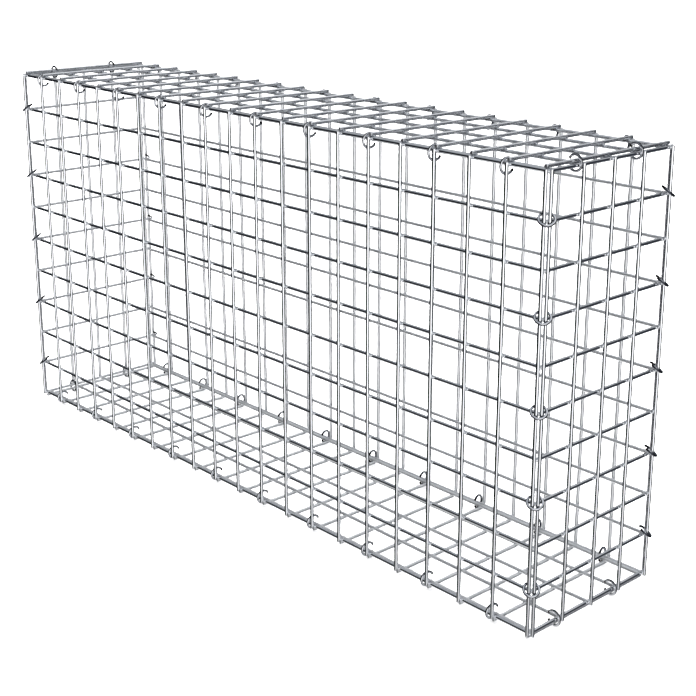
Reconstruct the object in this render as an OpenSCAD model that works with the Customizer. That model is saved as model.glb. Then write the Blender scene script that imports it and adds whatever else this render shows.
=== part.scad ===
// Gabion basket of welded steel mesh: six flat panels tied along all twelve edges
// with C-rings. X runs along the wall, Y through it and Z up. The origin is at the
// middle of the footprint, on the ground, which the lowest rings touch.

/* [Basket] */
// Length, between the wires at the two ends
basket_l = 1000; // [400:50:2000]
// Depth, between the wires of the front and the back
basket_d = 200; // [150:50:1000]
// Height, between the lowest and the highest wires of the walls
basket_h = 500; // [250:50:1000]

/* [Mesh] */
// Spacing of the wires, which is stretched a little to fit whole cells
mesh = 50; // [40:5:100]
// Diameter of the panels' wire
wire_d = 4.5; // [3:0.1:6]
// How deep two crossing wires sink into each other at a weld
weld_sink = 0.4; // [0.2:0.1:0.8]
// How far a wall's upright wires run past the axes of its top and bottom wires
stub = 2.5; // [2.5:0.5:10]
// How far inside the walls' end wires the lid and the base have their last wires
cover_inset = 3.6; // [3:0.1:5]
// Play between one panel's wires and the next panel's
panel_play = 0.15; // [0.1:0.05:0.4]

/* [Rings] */
// Diameter of a ring's wire
ring_wire = 3; // [2:0.1:4]
// Play between a closed ring and the wires that it holds
ring_play = 0.4; // [0.3:0.05:0.8]
// Gap between a ring's two cut tips
tip_gap = 5; // [2:0.5:7]
// Rings along each long edge
rings_long = 10; // [2:1:20]
// Rings along each edge that runs through the depth
rings_deep = 2; // [1:1:6]
// Rings up each upright edge
rings_up = 5; // [1:1:8]
// How far a long edge's rings are turned, as seen from above
ring_turn = 10; // [0:1:20]
// How far a corner's rings lean, with their tips up and inside the basket
ring_lean = 38; // [30:1:45]
// How far above a wall's level wires the middle of a corner's ring is
corner_rise = 2.6; // [1:0.1:4]

/* [Hidden] */
wire_r = wire_d / 2;
// Axis to axis of two wires that are welded across each other
lap = wire_d - weld_sink;
cells_x = max(2, round(basket_l / mesh));
cells_y = max(2, round(basket_d / mesh));
cells_z = max(2, round(basket_h / mesh));
end_x = basket_l / 2;
face_y = basket_d / 2;

// The lid's and the base's long wires lie beside the walls' edge wires, and their
// cross wires pass over them
cover_rise = weld_sink + panel_play / 2;
cover_x = end_x - cover_inset;
cover_y = face_y - wire_d - panel_play;

// A ring closes round the two wires of an edge, and its middle is never further from
// the axis of either than lap
ring_in = lap + wire_r + ring_play;
ring_r = ring_in + ring_wire / 2;
tip_angle = asin((tip_gap + ring_wire) / 2 / ring_r);
// Axis to axis of a ring's wire and of a wire that it nearly touches
touch = (wire_d + ring_wire) / 2 + ring_play;

// A long edge's rings are pulled towards the basket until they meet the lid's or the
// base's long wire, and stand beside the cross wire and the upright
edge_y = face_y - (wire_d + panel_play) / 2;
ring_pull = sqrt(lap ^ 2 - (face_y - edge_y) ^ 2) - cover_rise;
cross_height = ring_pull + cover_rise + lap;
ring_beside = max([for (a = [0:90]) if (abs(ring_r * sin(a) - cross_height) < touch)
    ring_r * cos(a) * sin(ring_turn) + sqrt(touch ^ 2 - (ring_r * sin(a) - cross_height) ^ 2)]);
// A depth edge's rings have their middle level with the last cross wire, or nearer
// the end if that wire is far in. They are raised until they meet the wall's edge
// wire at the top, and the base's cross wire at the bottom
deep_share = 0.88;
deep_in = min(cover_inset, deep_share * lap);
deep_rise = sqrt(lap ^ 2 - deep_in ^ 2);
deep_low = cover_rise + lap - sqrt(lap ^ 2 - (cover_inset - deep_in) ^ 2);

// A corner's rings are pushed in until they meet the two uprights, and pass over the
// walls' level wires with both their arms
post = lap / sqrt(2);
corner_in = min([for (a = [-30:60]) if (abs(ring_r * sin(a) - post) < touch)
    ring_r * cos(a) * cos(ring_lean) - sqrt(touch ^ 2 - (ring_r * sin(a) - post) ^ 2)]);
arm_x = function(a)
    (post - corner_in + ring_r * (cos(a) - sin(a) * cos(ring_lean))) / sqrt(2);
arm_z = function(a) ring_r * sin(a) * sin(ring_lean);
ring_drop = min([for (a = [0:90 - tip_angle])
    if (abs(arm_x(a)) < touch) arm_z(a) - sqrt(touch ^ 2 - arm_x(a) ^ 2)]);

// The lowest rings stand on the ground
base_z = ring_r + ring_wire / 2 + deep_low;
top_z = base_z + basket_h;

SIDES = ["front", "back"];
ENDS = ["left", "right"];
LEVELS = ["top", "bottom"];

function wire_x(i) = i * basket_l / cells_x - end_x;
function wire_y(i) = i * basket_d / cells_y - face_y;
function wire_z(i) = i * basket_h / cells_z + base_z;
// Number of the wire that the ring k of a row of rings sits at
function at_wire(k, rings, cells) = round((2 * k - 1) * cells / (2 * rings));
function long_edge_z(level) = level == "top" ? top_z - ring_pull : base_z + ring_pull;
function depth_edge_z(level) = level == "top" ? top_z + deep_rise : base_z - deep_low;

// A straight wire standing on the origin, eight-sided, with its flats square to
// the axes and as far apart as the wire is thick
module wire(length) {
    rotate(22.5)
        cylinder(h = length, r = wire_r / cos(22.5), $fn = 8);
}

module wire_along_x(length) {
    translate([-length / 2, 0, 0]) rotate([0, 90, 0]) wire(length);
}

module wire_along_y(length) {
    translate([0, length / 2, 0]) rotate([90, 0, 0]) wire(length);
}

// A wall seen from outside: level wires on the inside, cut at 45 degrees where they
// meet the next wall's, and upright wires welded across them on the outside
module wall(length, cells) {
    difference() {
        for (i = [0:cells_z])
            translate([0, 0, wire_z(i)]) wire_along_x(length + wire_d);
        for (side = [0, 1])
            mirror([side, 0, 0])
                translate([length / 2 - panel_play / sqrt(2), 0, 0])
                    rotate(45)
                        translate([0, -wire_d * 2, 0])
                            cube([wire_d * 2, wire_d * 4, top_z + wire_d]);
    }
    for (i = [0:cells])
        translate([i * length / cells - length / 2, -lap, base_z - stub])
            wire(basket_h + 2 * stub);
}

// The lid as it lies over the walls' top wires, which are at height 0
module cover() {
    for (i = [0:cells_y])
        translate([0, max(-cover_y, min(cover_y, wire_y(i))), cover_rise])
            wire_along_x(2 * (end_x - wire_r - panel_play));
    for (i = [0:cells_x])
        translate([max(-cover_x, min(cover_x, wire_x(i))), 0, cover_rise + lap])
            wire_along_y(2 * (face_y + lap - wire_r - panel_play));
}

// A closed C-ring round the origin, lying flat, with its cut tips towards +X
module ring() {
    rotate(tip_angle)
        rotate_extrude(angle = 360 - 2 * tip_angle, $fn = 64)
            translate([ring_r, 0]) circle(d = ring_wire, $fn = 32);
}

// Carries a piece of the front right to the side and the end that are named
module placed(side, end) {
    mirror([end == "left" ? 1 : 0, 0, 0])
        mirror([0, side == "back" ? 1 : 0, 0])
            children();
}

module front_panel() {
    color("silver") translate([0, -face_y, 0]) wall(basket_l, cells_x);
}

module back_panel() {
    color("silver") rotate(180) translate([0, -face_y, 0]) wall(basket_l, cells_x);
}

module left_panel() {
    color("lightgray") rotate(-90) translate([0, -end_x, 0]) wall(basket_d, cells_y);
}

module right_panel() {
    color("lightgray") rotate(90) translate([0, -end_x, 0]) wall(basket_d, cells_y);
}

module lid_panel() {
    color("gainsboro") translate([0, 0, top_z]) cover();
}

module base_panel() {
    color("gainsboro") translate([0, 0, base_z]) mirror([0, 0, 1]) cover();
}

// All the rings along one long edge, with their tips inside the basket
module long_edge_rings(side, level) {
    color("slategray")
        for (k = [1:rings_long])
            translate([wire_x(at_wire(k, rings_long, cells_x)) - ring_beside, 0, long_edge_z(level)])
                placed(side, "right")
                    translate([0, -edge_y, 0])
                        rotate(90 - ring_turn) rotate([90, 0, 0]) ring();
}

module depth_edge_ring(end, level, k) {
    ring_y = wire_y(at_wire(k, rings_deep, cells_y)) - ring_beside;
    color("slategray")
        translate([0, ring_y, depth_edge_z(level)])
            placed("front", end)
                translate([end_x - deep_in, 0, 0])
                    rotate(180) rotate([90, 0, 0]) ring();
}

module corner_ring(side, end, k) {
    ring_z = wire_z(at_wire(k, rings_up, cells_z)) + max(corner_rise, -ring_drop);
    color("slategray")
        translate([0, 0, ring_z])
            placed(side, end)
                translate([end_x + lap / 2, -face_y - lap / 2, 0])
                    rotate(135) translate([corner_in, 0, 0]) rotate([0, -ring_lean, 0]) ring();
}

front_panel();
back_panel();
left_panel();
right_panel();
lid_panel();
base_panel();
for (s = SIDES) for (l = LEVELS)
    long_edge_rings(s, l);
for (e = ENDS) for (l = LEVELS) for (k = [1:rings_deep])
    depth_edge_ring(e, l, k);
for (s = SIDES) for (e = ENDS) for (k = [1:rings_up])
    corner_ring(s, e, k);
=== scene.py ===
import math
import bpy
import numpy as np
from mathutils import Matrix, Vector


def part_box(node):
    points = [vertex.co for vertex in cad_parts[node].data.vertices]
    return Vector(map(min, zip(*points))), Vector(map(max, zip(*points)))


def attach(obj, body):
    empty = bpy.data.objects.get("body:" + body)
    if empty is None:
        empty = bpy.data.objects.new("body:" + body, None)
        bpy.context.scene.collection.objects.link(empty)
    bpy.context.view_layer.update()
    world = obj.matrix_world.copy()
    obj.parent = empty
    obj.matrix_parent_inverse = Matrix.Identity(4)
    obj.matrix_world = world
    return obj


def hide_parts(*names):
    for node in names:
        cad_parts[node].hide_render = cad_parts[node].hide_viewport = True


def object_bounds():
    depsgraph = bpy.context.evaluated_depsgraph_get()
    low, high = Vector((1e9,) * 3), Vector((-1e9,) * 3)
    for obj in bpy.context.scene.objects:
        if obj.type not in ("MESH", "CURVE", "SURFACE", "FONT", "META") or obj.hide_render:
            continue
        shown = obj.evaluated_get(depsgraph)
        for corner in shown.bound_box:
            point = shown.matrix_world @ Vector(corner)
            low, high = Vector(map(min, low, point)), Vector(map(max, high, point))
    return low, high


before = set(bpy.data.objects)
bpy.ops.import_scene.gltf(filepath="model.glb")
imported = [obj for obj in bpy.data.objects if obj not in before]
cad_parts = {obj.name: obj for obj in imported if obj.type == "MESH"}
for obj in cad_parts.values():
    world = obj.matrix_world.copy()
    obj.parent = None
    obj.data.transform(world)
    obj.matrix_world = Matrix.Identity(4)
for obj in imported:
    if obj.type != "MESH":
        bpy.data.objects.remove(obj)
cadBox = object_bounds()
print("loaded the basket:", len(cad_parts), "nodes")


class Signal:
    # an output of a node, which can be added to and multiplied like a number
    def __init__(self, graph, socket):
        self.graph = graph
        self.socket = socket

    def calc(self, operation, *values):
        return self.graph.node("ShaderNodeMath", {"operation": operation}, dict(enumerate(values)))

    def __add__(self, other):
        return self.calc("ADD", self, other)

    def __radd__(self, other):
        return self.calc("ADD", other, self)

    def __sub__(self, other):
        return self.calc("SUBTRACT", self, other)

    def __rsub__(self, other):
        return self.calc("SUBTRACT", other, self)

    def __mul__(self, other):
        return self.calc("MULTIPLY", self, other)

    def __rmul__(self, other):
        return self.calc("MULTIPLY", other, self)

    def __abs__(self):
        return self.calc("ABSOLUTE", self)

    def between(self, low, high):
        # 0 below low, 1 above high, smooth in between
        return self.graph.node("ShaderNodeMapRange", {"interpolation_type": "SMOOTHSTEP"},
                               {"Value": self, "From Min": low, "From Max": high})


class Graph:
    # the nodes of one material or of the world
    def __init__(self, owner):
        owner.use_nodes = True
        self.tree = owner.node_tree
        self.tree.nodes.clear()

    def node(self, kind, settings=None, inputs=None, output=0):
        made = self.tree.nodes.new(kind)
        for name, value in (settings or {}).items():
            setattr(made, name, value)
        for name, value in (inputs or {}).items():
            if isinstance(value, Signal):
                self.tree.links.new(value.socket, made.inputs[name])
            else:
                made.inputs[name].default_value = value
        return Signal(self, made.outputs[output] if made.outputs else None)

    def blend(self, factor, first, second):
        return self.node("ShaderNodeMix", {"data_type": "RGBA"}, {0: factor, 6: first, 7: second}, output=2)

    def stretch(self, vector, scale):
        return self.node("ShaderNodeVectorMath", {"operation": "MULTIPLY"}, {0: vector, 1: scale})

    def dot(self, vector, way):
        return self.node("ShaderNodeVectorMath", {"operation": "DOT_PRODUCT"}, {0: vector, 1: way}, output=1)

    def noise(self, vector, scale, detail, roughness=0.5):
        return self.node("ShaderNodeTexNoise", None,
                         {"Vector": vector, "Scale": scale, "Detail": detail, "Roughness": roughness})


def makeMetal(name, look):
    # zinc-coated or bare wire, with its patterns laid along the wire; some looks also get painted shade on
    # the rings' inner and outer faces or on the lid wires' undersides
    material = bpy.data.materials.new(name)
    graph = Graph(material)
    along = graph.node("ShaderNodeAttribute", {"attribute_name": "along"}, output=1)
    drawnOut = graph.stretch(along, look["streakStretch"])
    clouds = graph.noise(along, look["cloudScale"], look["cloudDetail"])
    streaks = graph.noise(drawnOut, look["streakScale"], look["streakDetail"], look["streakRoughness"])
    grain = graph.noise(along, look["grainScale"], look["grainDetail"])
    dull = clouds.between(*look["cloudEdge"])
    streaked = streaks.between(*look["streakEdge"]) * look["streakStrength"]
    colour = graph.blend(dull, look["bright"], look["dull"])
    colour = graph.blend(streaked, colour, look["streak"])
    roughness = look["roughness"] + dull * look["roughnessSpread"]
    height = streaks * look["streakRelief"] + grain * look["grainRelief"] + clouds * look["cloudRelief"]
    if "heat" in look:
        # the welding heat dulls and roughens the zinc
        heat = graph.node("ShaderNodeAttribute", {"attribute_name": "heat"}, output=2)
        colour = graph.blend(heat * look["heatStrength"], colour, look["heat"])
        roughness = roughness + heat * look["heatRoughness"]
        height = height + heat * grain * look["heatRelief"]
    if "paintedFlankShade" in look:
        # painted shade: the ring's inner and outer faces are darkened to a near-black outline that stands in
        # for shade
        across = abs(graph.dot(along, (0, 1 / look["tube"], 0)))
        colour = graph.blend(across.between(*look["paintedFlankShadeEdge"]), colour, look["paintedFlankShade"])
    if "paintedUndersideShade" in look:
        # painted shade: faces of the lid wires that point down are blended to a darker grey that stands in
        # for the shade below them
        normal = graph.node("ShaderNodeNewGeometry", output=1)
        paintedShadeBelow = graph.dot(normal, (0, 0, -1)).between(*look["paintedUndersideShadeEdge"])
        colour = graph.blend(paintedShadeBelow, colour, look["paintedUndersideShade"])
    bump = graph.node("ShaderNodeBump", None,
                      {"Height": height, "Strength": look["bump"], "Distance": look["bumpDepth"]})
    shader = graph.node("ShaderNodeBsdfPrincipled", None, {
        "Base Color": colour, "Roughness": roughness, "Normal": bump, "Metallic": look["metallic"]})
    graph.node("ShaderNodeOutputMaterial", None, {"Surface": shader})
    return material


drawnWire = {
    "metallic": 1.0, "cloudDetail": 3.0, "streakDetail": 4.0, "streakRoughness": 0.65, "grainDetail": 2.0,
    # where a pattern's noise begins to show, and where it is full
    "cloudEdge": (0.42, 0.68), "streakEdge": (0.45, 0.75),
    "streakStretch": (0.06, 1, 1),     # streaks run along the wire
    # shares of the bump
    "streakRelief": 0.5, "grainRelief": 0.3, "cloudRelief": 0.2, "heatRelief": 1.5,
}
meshZinc = dict(
    drawnWire, bright=(0.86, 0.87, 0.89, 1), dull=(0.78, 0.80, 0.83, 1), streak=(0.66, 0.68, 0.72, 1),
    heat=(0.80, 0.80, 0.81, 1), heatStrength=0.5, heatRoughness=0.3, streakStrength=0.35,
    cloudScale=60.0, streakScale=900.0, grainScale=1600.0,
    roughness=0.07, roughnessSpread=0.04, bump=0.10, bumpDepth=0.00005)
shearedZinc = dict(meshZinc, bright=(0.62, 0.62, 0.63, 1), roughness=0.4)
# the lid's darker underside grey is painted shade on the wires' lower faces
lidZinc = dict(
    meshZinc, paintedUndersideShade=(0.42, 0.44, 0.47, 1), paintedUndersideShadeEdge=(-0.3, 0.7), metallic=0.955,
    roughness=0.15, roughnessSpread=0.05)
# painted light: a paler copy of the mesh zinc for the walls and base on the far side, lighter than the same
# wire elsewhere; its roughness is also higher
farZinc = dict(
    meshZinc, bright=(0.90, 0.91, 0.92, 1), dull=(0.84, 0.85, 0.87, 1), metallic=0.92,
    roughness=0.30, roughnessSpread=0.10)
# the flank colour is painted shade: a near-black outline on the rings' inner and outer faces
ringZinc = dict(
    drawnWire, bright=(0.86, 0.87, 0.90, 1), dull=(0.76, 0.78, 0.82, 1), streak=(0.50, 0.52, 0.56, 1),
    streakStrength=0.4, paintedFlankShade=(0.05, 0.055, 0.07, 1), paintedFlankShadeEdge=(0.4, 0.85), tube=0.0015,
    cloudScale=160.0, streakScale=1400.0, grainScale=2400.0,
    roughness=0.07, roughnessSpread=0.04, bump=0.1, bumpDepth=0.00005)
cutSteel = dict(
    drawnWire, bright=(0.035, 0.033, 0.033, 1), dull=(0.012, 0.012, 0.012, 1), streak=(0.03, 0.02, 0.015, 1),
    streakStrength=0.6, cloudScale=700.0, streakScale=3000.0, grainScale=5000.0,
    roughness=0.42, roughnessSpread=0.2, bump=0.6, bumpDepth=0.0001)
meshMaterial = makeMetal("zincMesh", meshZinc)
farMaterial = makeMetal("zincFar", farZinc)
lidMaterial = makeMetal("zincLid", lidZinc)
ringMaterial = makeMetal("zincRing", ringZinc)
cutMaterial = makeMetal("cutSteel", cutSteel)
shearedMaterial = makeMetal("shearedEnd", shearedZinc)
print("materials made")


class Shape:
    # gathers tubes and welds, and joins them into one mesh
    def __init__(self, sides):
        self.sides = sides       # of a tube's cross-section
        self.points, self.faces, self.slots, self.smooth = [], [], [], []
        self.along, self.heat = [], []
        self.count = 0

    def add(self, points, faces, along, heat, slots, smooth):
        self.points.append(points)
        self.along.append(along)
        self.heat.append(heat)
        self.faces += [[corner + self.count for corner in face] for face in faces]
        self.slots += slots
        self.smooth += smooth
        self.count += len(points)

    def build(self, name, node, surface, endSurface):
        mesh = bpy.data.meshes.new(name)
        mesh.from_pydata(np.concatenate(self.points).tolist(), [], self.faces)
        mesh.materials.append(surface)
        mesh.materials.append(endSurface)
        mesh.polygons.foreach_set("material_index", self.slots)
        mesh.polygons.foreach_set("use_smooth", self.smooth)
        along = mesh.attributes.new("along", "FLOAT_VECTOR", "POINT")
        along.data.foreach_set("vector", np.concatenate(self.along).ravel())
        heat = mesh.attributes.new("heat", "FLOAT", "POINT")
        heat.data.foreach_set("value", np.concatenate(self.heat))
        mesh.update()
        piece = bpy.data.objects.new(name, mesh)
        bpy.context.collection.objects.link(piece)
        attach(piece, "root")
        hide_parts(node)


def tubeFaces(rings, sides):
    # the wall of a tube, and last its two end faces
    faces = []
    for ring in range(rings - 1):
        for side in range(sides):
            following = (side + 1) % sides
            faces.append([ring * sides + side, ring * sides + following,
                          (ring + 1) * sides + following, (ring + 1) * sides + side])
    faces.append(list(range(sides - 1, -1, -1)))
    faces.append([(rings - 1) * sides + side for side in range(sides)])
    return faces


def addTube(shape, centres, sideways, upward, radii, heat, start, tipFaces=0, slant=None):
    # a round tube through the centres; sideways and upward span each cross-section
    rings, sides = len(centres), shape.sides
    angles = np.arange(sides) * 2 * math.pi / sides
    ring = np.cos(angles)[None, :, None] * sideways[:, None, :]
    ring = ring + np.sin(angles)[None, :, None] * upward[:, None, :]
    points = centres[:, None, :] + ring * radii[:, None, None]
    if slant is not None:
        points = points + slant[:, None, :] * np.cos(angles)[None, :, None]
    travelled = np.concatenate([[0], np.cumsum(np.linalg.norm(np.diff(centres, axis=0), axis=1))])
    along = np.stack([
        np.repeat(travelled + start, sides),
        (radii[:, None] * np.cos(angles)).ravel(),
        (radii[:, None] * np.sin(angles)).ravel()], axis=1)
    faces = tubeFaces(rings, sides)
    slots = np.zeros(len(faces), int)
    slots[-2:] = 1
    if tipFaces:
        slots[:tipFaces * sides] = 1
        slots[-2 - tipFaces * sides:-2] = 1
    smooth = [True] * (len(faces) - 2) + [False, False]
    shape.add(points.reshape(-1, 3), faces, along, np.repeat(heat, sides), slots.tolist(), smooth)


panelLook = {
    "wire": 0.0045,          # diameter
    "pitch": 0.05,           # nominal mesh
    # these far-side panels take the paler zinc copy, which is painted light
    "paintedPalerFar": ("back_panel", "left_panel", "base_panel"),
    "sides": 16,
    "seed": 50,
    # how far a wire strays from straight, in waves of so many radians a metre
    "wander": 0.00012, "wanderTurns": (9, 23, 47), "wanderShares": (0.6, 0.3, 0.2),
    "sections": (-0.0075, -0.003, 0.0, 0.003, 0.0075),   # around each weld
    "flat": 0.00015, "flatReach": 0.0028,                # of the electrode's flat
    "heatReach": 0.0038,
    "endTaper": ((0.0006, 1.0), (0.0002, 0.95), (0.0, 0.84)), "endMargin": 0.0002,
    "endInset": 0.00045,     # of a wall's level wires, inside its box
    "weldSides": 20, "weldSteps": 6,
    "weldWaist": 0.0016, "weldFoot": 0.00205,
    "weldUneven": 0.00022, "weldWaves": (1, 2, 3, 5), "weldPhase": 6.3,
    "footUneven": (-1.2, 0.6), "waistUneven": (-1.2, 1.4),
    "weldSunk": 0.00006,     # how far a fillet's rims sink into the wires
    "weldWrap": 0.95,        # how far round a wire a fillet can reach, squared
    # wires and welds begin in different places in the metal's patterns
    "innerShift": 3.1, "outerShift": 2.3, "outerStart": 80, "weldShift": 50,
}
random = np.random.default_rng(panelLook["seed"])


def wander(positions):
    # a slow drift of about a tenth of a millimetre along a wire
    phases = random.uniform(0, 2 * math.pi, 3)
    waves = [np.sin(positions * turns + phase) for turns, phase in zip(panelLook["wanderTurns"], phases)]
    return panelLook["wander"] * sum(share * wave for share, wave in zip(panelLook["wanderShares"], waves))


def wireStations(low, high, crossings):
    # where the cross-sections go: the tapered ends, round each weld and halfway between
    insets = [inset for inset, _ in panelLook["endTaper"]]
    stations = [low + inset for inset in insets] + [high - inset for inset in insets]
    inner = [crossing + offset for crossing in crossings for offset in panelLook["sections"]]
    inner += [(a + b) / 2 for a, b in zip(crossings, crossings[1:])]
    margin = insets[0] + panelLook["endMargin"]
    stations += [place for place in inner if low + margin < place < high - margin]
    return np.array(sorted(stations))


def addWire(shape, low, high, crossings, place, run, across, outward, start):
    # run, across and outward are unit vectors; outward is away from the welded wires
    radius = panelLook["wire"] / 2
    stations = wireStations(low, high, crossings)
    tapers = sorted(panelLook["endTaper"])
    ends = np.minimum(stations - low, high - stations)
    radii = radius * np.interp(ends, [depth for depth, _ in tapers], [share for _, share in tapers])
    gap = np.abs(stations[:, None] - np.array(crossings)[None, :]).min(axis=1)
    heat = np.exp(-(gap / panelLook["heatReach"]) ** 2)
    drift = wander(stations)
    centres = place + stations[:, None] * run + drift[:, None] * across
    count = len(stations)
    addTube(shape, centres, np.tile(across, (count, 1)), np.tile(np.cross(run, across), (count, 1)),
            radii, heat, start)
    # the electrode presses a flat on the far side of each weld
    points = shape.points[-1]
    reach = (points - np.repeat(centres, shape.sides, axis=0)) @ outward
    pressed = np.repeat(np.exp(-(gap / panelLook["flatReach"]) ** 2), shape.sides)
    limit = radius - panelLook["flat"] * pressed
    points -= np.maximum(reach - limit, 0)[:, None] * outward
    return drift, stations


def addWeld(shape, centre, lower, upper, normal, lap, start):
    # a fillet all round the contact; lower and upper are the directions of the two wires,
    # and normal points from the lower one to the upper one
    sides, steps = panelLook["weldSides"], panelLook["weldSteps"]
    radius = panelLook["wire"] / 2
    wrap = panelLook["weldWrap"] * radius ** 2
    angles = np.arange(sides) * 2 * math.pi / sides
    uneven = sum(random.normal() / wave * np.cos(wave * angles + random.uniform(0, panelLook["weldPhase"]))
                 for wave in panelLook["weldWaves"])
    foot = panelLook["weldFoot"] + panelLook["weldUneven"] * uneven.clip(*panelLook["footUneven"])
    waist = panelLook["weldWaist"] + panelLook["weldUneven"] * uneven.clip(*panelLook["waistUneven"])
    level = np.linspace(-1, 1, steps)
    reach = waist[None, :] + (foot - waist)[None, :] * (np.abs(level)[:, None] ** 2)
    x, y = reach * np.cos(angles), reach * np.sin(angles)
    footBelow = -lap / 2 + np.sqrt(radius ** 2 - np.minimum(y[0] ** 2, wrap)) - panelLook["weldSunk"]
    footAbove = lap / 2 - np.sqrt(radius ** 2 - np.minimum(x[-1] ** 2, wrap)) + panelLook["weldSunk"]
    share = (level[:, None] + 1) / 2
    height = footBelow * (1 - share) + footAbove * share
    points = centre + x[..., None] * lower + y[..., None] * upper + height[..., None] * normal
    faces = tubeFaces(steps, sides)[:-2]
    along = np.stack([x.ravel() + start, y.ravel(), height.ravel()], axis=1)
    if np.dot(np.cross(lower, upper), normal) < 0:
        faces = [face[::-1] for face in faces]
    shape.add(points.reshape(-1, 3), faces, along, np.ones(steps * sides),
              [0] * len(faces), [True] * len(faces))


def makePanel(node, runAxis, crossAxis, outAxis, outSign, innerPlaces, outerPlaces, ends, surface):
    # inner wires run along runAxis; outer wires lie across them on the outside.
    # ends holds the two wires' lowest and highest points along their own length
    look = panelLook
    shape = Shape(look["sides"])
    low, high = (np.array(corner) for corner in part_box(node))
    radius = look["wire"] / 2
    unit = np.eye(3)
    run, cross = unit[runAxis], unit[crossAxis]
    outward = unit[outAxis] * outSign
    faceOut = (high if outSign > 0 else low)[outAxis]
    faceIn = (low if outSign > 0 else high)[outAxis]
    outerAt = faceOut - outSign * radius
    innerAt = faceIn + outSign * radius
    lap = abs(outerAt - innerAt)
    innerDrift, outerDrift = [], []
    for index, place in enumerate(innerPlaces):
        base = cross * place + unit[outAxis] * innerAt
        drift, stations = addWire(shape, *ends[0], outerPlaces, base, run, cross, -outward,
                                  index * look["innerShift"])
        innerDrift.append(np.interp(outerPlaces, stations, drift))
    for index, place in enumerate(outerPlaces):
        base = run * place + unit[outAxis] * outerAt
        drift, stations = addWire(shape, *ends[1], innerPlaces, base, cross, run, outward,
                                  index * look["outerShift"] + look["outerStart"])
        outerDrift.append(np.interp(innerPlaces, stations, drift))
    middle = unit[outAxis] * (outerAt + innerAt) / 2
    for i, inner in enumerate(innerPlaces):
        for j, outer in enumerate(outerPlaces):
            centre = middle + cross * (inner + innerDrift[i][j]) + run * (outer + outerDrift[j][i])
            start = random.uniform(0, look["weldShift"])
            addWeld(shape, centre, run, cross, outward, lap, start)
    shape.build(node + "_wires", node, surface, shearedMaterial)
    print(node, "has", len(innerPlaces) * len(outerPlaces), "welds and", len(shape.faces), "faces")


def spread(low, high, margin):
    # evenly spaced wires between the two outermost, at about the nominal mesh
    span = high - low - 2 * margin
    cells = round(span / panelLook["pitch"])
    return [low + margin + span * index / cells for index in range(cells + 1)]


def makeWall(node, runAxis, outAxis, outSign):
    low, high = (np.array(corner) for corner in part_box(node))
    height = high[2] - low[2]
    cells = round(height / panelLook["pitch"])
    stub = (height - cells * panelLook["pitch"]) / 2
    levels = spread(low[2], high[2], stub)
    uprights = spread(low[runAxis], high[runAxis], panelLook["wire"] / 2)
    inset = panelLook["endInset"]
    ends = ((low[runAxis] + inset, high[runAxis] - inset), (low[2], high[2]))
    # painted light: far-side walls get the paler zinc copy
    surface = farMaterial if node in panelLook["paintedPalerFar"] else meshMaterial
    makePanel(node, runAxis, 2, outAxis, outSign, levels, uprights, ends, surface)


coverLook = {
    "overhang": 0.00635,     # from the outer long wire to the ends of the cross wires
    "inset": 0.0012,         # from the ends of the long wires to the last cross wire
}


def makeCover(node, outSign, surface):
    low, high = (np.array(corner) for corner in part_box(node))
    radius = panelLook["wire"] / 2
    crossAt = spread(*(corner.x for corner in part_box("front_panel")), radius)
    crossAt[0] = low[0] + coverLook["inset"]
    crossAt[-1] = high[0] - coverLook["inset"]
    longAt = spread(*(corner.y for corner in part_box("left_panel")), radius)
    longAt[0] = low[1] + coverLook["overhang"]
    longAt[-1] = high[1] - coverLook["overhang"]
    ends = ((low[0], high[0]), (low[1], high[1]))
    makePanel(node, 0, 1, 2, outSign, longAt, crossAt, ends, surface)


makeWall("front_panel", 0, 1, -1)
makeWall("back_panel", 0, 1, 1)
makeWall("left_panel", 1, 0, -1)
makeWall("right_panel", 1, 0, 1)
makeCover("lid_panel", 1, lidMaterial)
# painted light: the base takes the paler zinc copy too
makeCover("base_panel", -1, farMaterial)


ringLook = {
    "wire": 0.003,
    "outer": 0.01949,        # outside diameter
    "gap": 0.005,            # between the cut tips
    "sides": 16,
    "steps": 60,
    "tipLength": 0.0027,     # bare, pinched steel at the tips
    # from a cut end inwards: where the sections are, how thick, and how far the shears lean them
    "tipSteps": (0, 0.12, 0.5), "tipTaper": (0.80, 0.93, 0.98),
    "slant": 0.0007, "tipSlant": (1, 0.9, 0.5, 0),
    "edgeTurn": 10,          # degrees that a long edge's rings are turned
    "cornerLean": 38,        # degrees that a corner's rings lean
    "everyCells": 2,
    "patternShift": 90,
}


def addRing(shape, centre, gapWay, sideWay, start):
    # gapWay points from the centre to the gap, and sideWay across it
    tube = ringLook["wire"] / 2
    bend = ringLook["outer"] / 2 - tube
    opening = math.asin((ringLook["gap"] / 2 + tube) / bend)
    tip = ringLook["tipLength"] / bend
    steps = tip * np.array(ringLook["tipSteps"])
    angles = np.concatenate([
        opening + steps,
        np.linspace(opening + tip, 2 * math.pi - opening - tip, ringLook["steps"]),
        2 * math.pi - opening - steps[::-1]])
    radial = np.cos(angles)[:, None] * gapWay + np.sin(angles)[:, None] * sideWay
    forward = -np.sin(angles)[:, None] * gapWay + np.cos(angles)[:, None] * sideWay
    normal = np.tile(np.cross(gapWay, sideWay), (len(angles), 1))
    centres = centre + bend * radial
    radii = np.full(len(angles), tube)
    taper = np.array(ringLook["tipTaper"])
    radii[:len(taper)] *= taper
    radii[-len(taper):] *= taper[::-1]
    lean = np.zeros(len(angles))
    slant = ringLook["slant"] * np.array(ringLook["tipSlant"])
    lean[:len(slant)] = slant
    lean[-len(slant):] = -slant[::-1]
    addTube(shape, centres, radial, normal, radii, np.zeros(len(angles)), start,
            tipFaces=len(steps), slant=lean[:, None] * forward)


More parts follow.
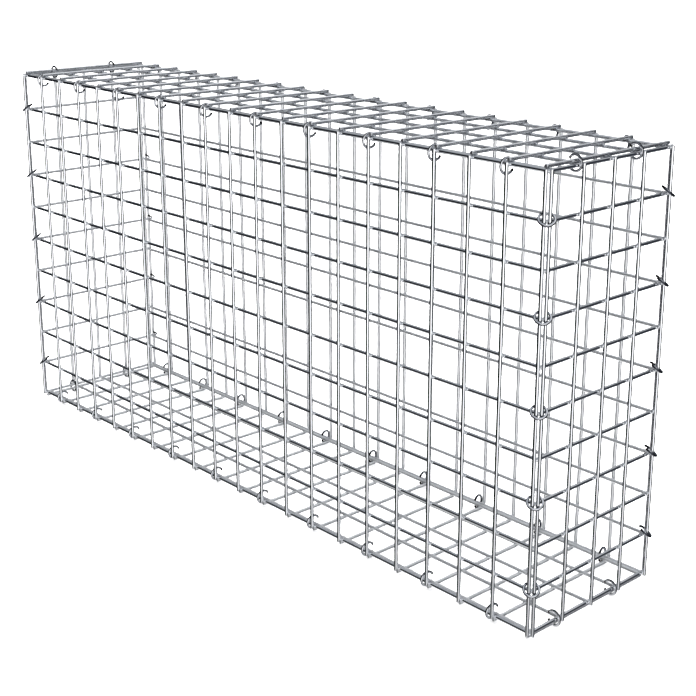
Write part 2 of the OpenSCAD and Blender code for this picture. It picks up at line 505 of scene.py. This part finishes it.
def ringReach(gapWay, sideWay, axis):
    # how far a full ring reaches from its centre along an axis of the frame
    tube = ringLook["wire"] / 2
    bend = ringLook["outer"] / 2 - tube
    normal = np.cross(gapWay, sideWay)
    return bend * math.sqrt(1 - normal[axis] ** 2) + tube


def makeRings(node, centres, gapWay, sideWay):
    shape = Shape(ringLook["sides"])
    for centre in centres:
        addRing(shape, centre, gapWay, sideWay, random.uniform(0, ringLook["patternShift"]))
    name = node.replace("edge_ring", "edge_c_ring").replace("corner_ring", "corner_c_ring")
    shape.build(name, node, ringMaterial, cutMaterial)


def closedSide(node, axis, sign, reach):
    # where a ring's centre is along an axis, from the side of its box that the closed bend reaches
    low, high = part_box(node)
    return high[axis] - reach if sign > 0 else low[axis] + reach


up = np.array([0.0, 0.0, 1.0])
for node in sorted(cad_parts):
    if "ring" not in node:
        continue
    low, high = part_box(node)
    ySign = -1 if node.startswith("front") else 1
    xSign = -1 if "left" in node else 1
    if node.endswith("edge_rings"):
        turn = math.radians(ringLook["edgeTurn"])
        gapWay = np.array([math.sin(turn), -ySign * math.cos(turn), 0])
        reach = ringReach(gapWay, up, 0)
        y = closedSide(node, 1, ySign, ringReach(gapWay, up, 1))
        z = (low.z + high.z) / 2
        step = ringLook["everyCells"] * panelLook["pitch"]
        count = 1 + round((high.x - low.x - 2 * reach) / step)
        centres = [np.array([low.x + reach + index * step, y, z]) for index in range(count)]
        makeRings(node, centres, gapWay, up)
    elif "edge_ring" in node:
        gapWay = np.array([-xSign, 0, 0])
        x = closedSide(node, 0, xSign, ringReach(gapWay, up, 0))
        makeRings(node, [np.array([x, (low.y + high.y) / 2, (low.z + high.z) / 2])], gapWay, up)
    else:
        lean = math.radians(ringLook["cornerLean"])
        inward = np.array([-xSign, -ySign, 0]) / math.sqrt(2)
        gapWay = inward * math.cos(lean) + up * math.sin(lean)
        sideWay = np.cross(up, inward)
        x = closedSide(node, 0, xSign, ringReach(gapWay, sideWay, 0))
        y = closedSide(node, 1, ySign, ringReach(gapWay, sideWay, 1))
        z = low.z + ringReach(gapWay, sideWay, 2)
        makeRings(node, [np.array([x, y, z])], gapWay, sideWay)
print("rings made")


cameraLook = {
    "place": (1.3036, -1.0890, 0.7539),
    "azimuth": 46.745, "elevation": 15.983, "roll": 0.277,
    "lens": 68.86, "sensor": 36, "shift": (-0.0343, -0.0861),
    "near": 0.05, "far": 200,
}
studioLook = {
    "floorColour": (0.90, 0.90, 0.90, 1), "floorGlow": 0.6, "floorSize": 60, "floorDrop": 0.0002,
    "backdropLight": 1.3, "backdropRadius": 27.27, "backdropHeight": 40,
    "overhead": 8.0, "overheadSpread": 60,     # the wide soft light from above, and its degrees
    # edges are cosines or sines, from where a panel begins to where it is full
    "turn": 8.0,                               # degrees that the softbox is right of the camera
    "softbox": (1.75, 1.75, 1.75, 1), "softboxEdge": (0.66, 0.995),
    "lowSoftbox": 0.5, "lowEdge": (0.40, 0.60),    # how much of it is missing low down
    "rearPanel": (0.70, 0.71, 0.73, 1), "rearEdge": (0.6, 0.95), "rearRise": (0.05, 0.35),
    "leftWall": (0.010, 0.012, 0.016, 1), "rightWall": (0.035, 0.04, 0.05, 1), "wallEdge": (-0.3, 0.6),
    "leftCeiling": (0.40, 0.42, 0.45, 1), "rightCeiling": (0.90, 0.92, 0.95, 1), "ceilingEdge": (0.40, 0.80),
    "leftGround": (1.0, 1.0, 1.0, 1), "rightGround": (0.42, 0.43, 0.45, 1), "groundEdge": (0.42, 0.76),
}


def makeCamera():
    look = cameraLook
    azimuth, elevation, roll = (math.radians(look[key]) for key in ("azimuth", "elevation", "roll"))
    camera = bpy.data.objects.new("camera", bpy.data.cameras.new("camera"))
    bpy.context.collection.objects.link(camera)
    camera.matrix_world = (Matrix.Translation(look["place"]) @ Matrix.Rotation(azimuth, 4, "Z")
                           @ Matrix.Rotation(math.pi / 2 - elevation, 4, "X") @ Matrix.Rotation(roll, 4, "Z"))
    camera.data.lens = look["lens"]
    camera.data.sensor_width = look["sensor"]
    camera.data.shift_x, camera.data.shift_y = look["shift"]
    camera.data.clip_start = look["near"]
    camera.data.clip_end = look["far"]
    bpy.context.scene.camera = camera


def plainMaterial(name, colour, glow):
    material = bpy.data.materials.new(name)
    graph = Graph(material)
    shader = graph.node("ShaderNodeBsdfPrincipled", None, {
        "Base Color": colour, "Roughness": 1.0, "Specular IOR Level": 0.0,
        "Emission Color": (1, 1, 1, 1), "Emission Strength": glow})
    graph.node("ShaderNodeOutputMaterial", None, {"Surface": shader})
    return material


def makeStage():
    look = studioLook
    bpy.ops.mesh.primitive_plane_add(size=look["floorSize"], location=(0, 0, cadBox[0].z - look["floorDrop"]))
    floor = bpy.context.object
    floor.name = "floor"
    floor.data.materials.append(plainMaterial("floorPaint", look["floorColour"], look["floorGlow"]))
    floor.visible_glossy = False      # the wires mirror the studio's panels instead
    bpy.ops.mesh.primitive_cylinder_add(radius=look["backdropRadius"], depth=look["backdropHeight"],
                                        end_fill_type="NOTHING")
    backdrop = bpy.context.object
    backdrop.name = "backdrop"
    backdrop.data.materials.append(plainMaterial("backdropPaper", (0, 0, 0, 1), look["backdropLight"]))
    backdrop.visible_glossy = False
    backdrop.visible_diffuse = False
    backdrop.visible_shadow = False
    backdrop.visible_transmission = False
    lamp = bpy.data.objects.new("overhead", bpy.data.lights.new("overhead", "SUN"))
    bpy.context.collection.objects.link(lamp)
    lamp.data.energy = look["overhead"]
    lamp.data.angle = math.radians(look["overheadSpread"])
    lamp.visible_glossy = False


def makeStudioLight():
    # a softbox near the camera, a pale panel high behind the basket, dark side walls,
    # a ceiling that is brighter on the right and a ground that is brighter on the left
    world = bpy.data.worlds.new("studio")
    bpy.context.scene.world = world
    graph = Graph(world)
    look = studioLook
    azimuth = math.radians(cameraLook["azimuth"])
    aim = azimuth + math.radians(look["turn"])
    way = graph.node("ShaderNodeTexCoord")
    facing = graph.dot(way, (math.sin(aim), -math.cos(aim), 0))
    side = graph.dot(way, (math.cos(azimuth), math.sin(azimuth), 0))
    height = graph.dot(way, (0, 0, 1))
    depth = height * -1
    right = side.between(*look["wallEdge"])
    rear = (facing * -1).between(*look["rearEdge"]) * height.between(*look["rearRise"])
    missing = depth.between(*look["lowEdge"]) * look["lowSoftbox"]
    softbox = facing.between(*look["softboxEdge"]) * (1 - missing)
    ceiling = graph.blend(right, look["leftCeiling"], look["rightCeiling"])
    ground = graph.blend(right, look["leftGround"], look["rightGround"])
    colour = graph.blend(right, look["leftWall"], look["rightWall"])
    colour = graph.blend(rear, colour, look["rearPanel"])
    colour = graph.blend(softbox, colour, look["softbox"])
    colour = graph.blend(height.between(*look["ceilingEdge"]), colour, ceiling)
    colour = graph.blend(depth.between(*look["groundEdge"]), colour, ground)
    background = graph.node("ShaderNodeBackground", None, {"Color": colour, "Strength": 1.0})
    graph.node("ShaderNodeOutputWorld", None, {"Surface": background})


makeCamera()
makeStage()
makeStudioLight()
bpy.context.scene.view_settings.view_transform = "Standard"
print("camera, stage and light made")
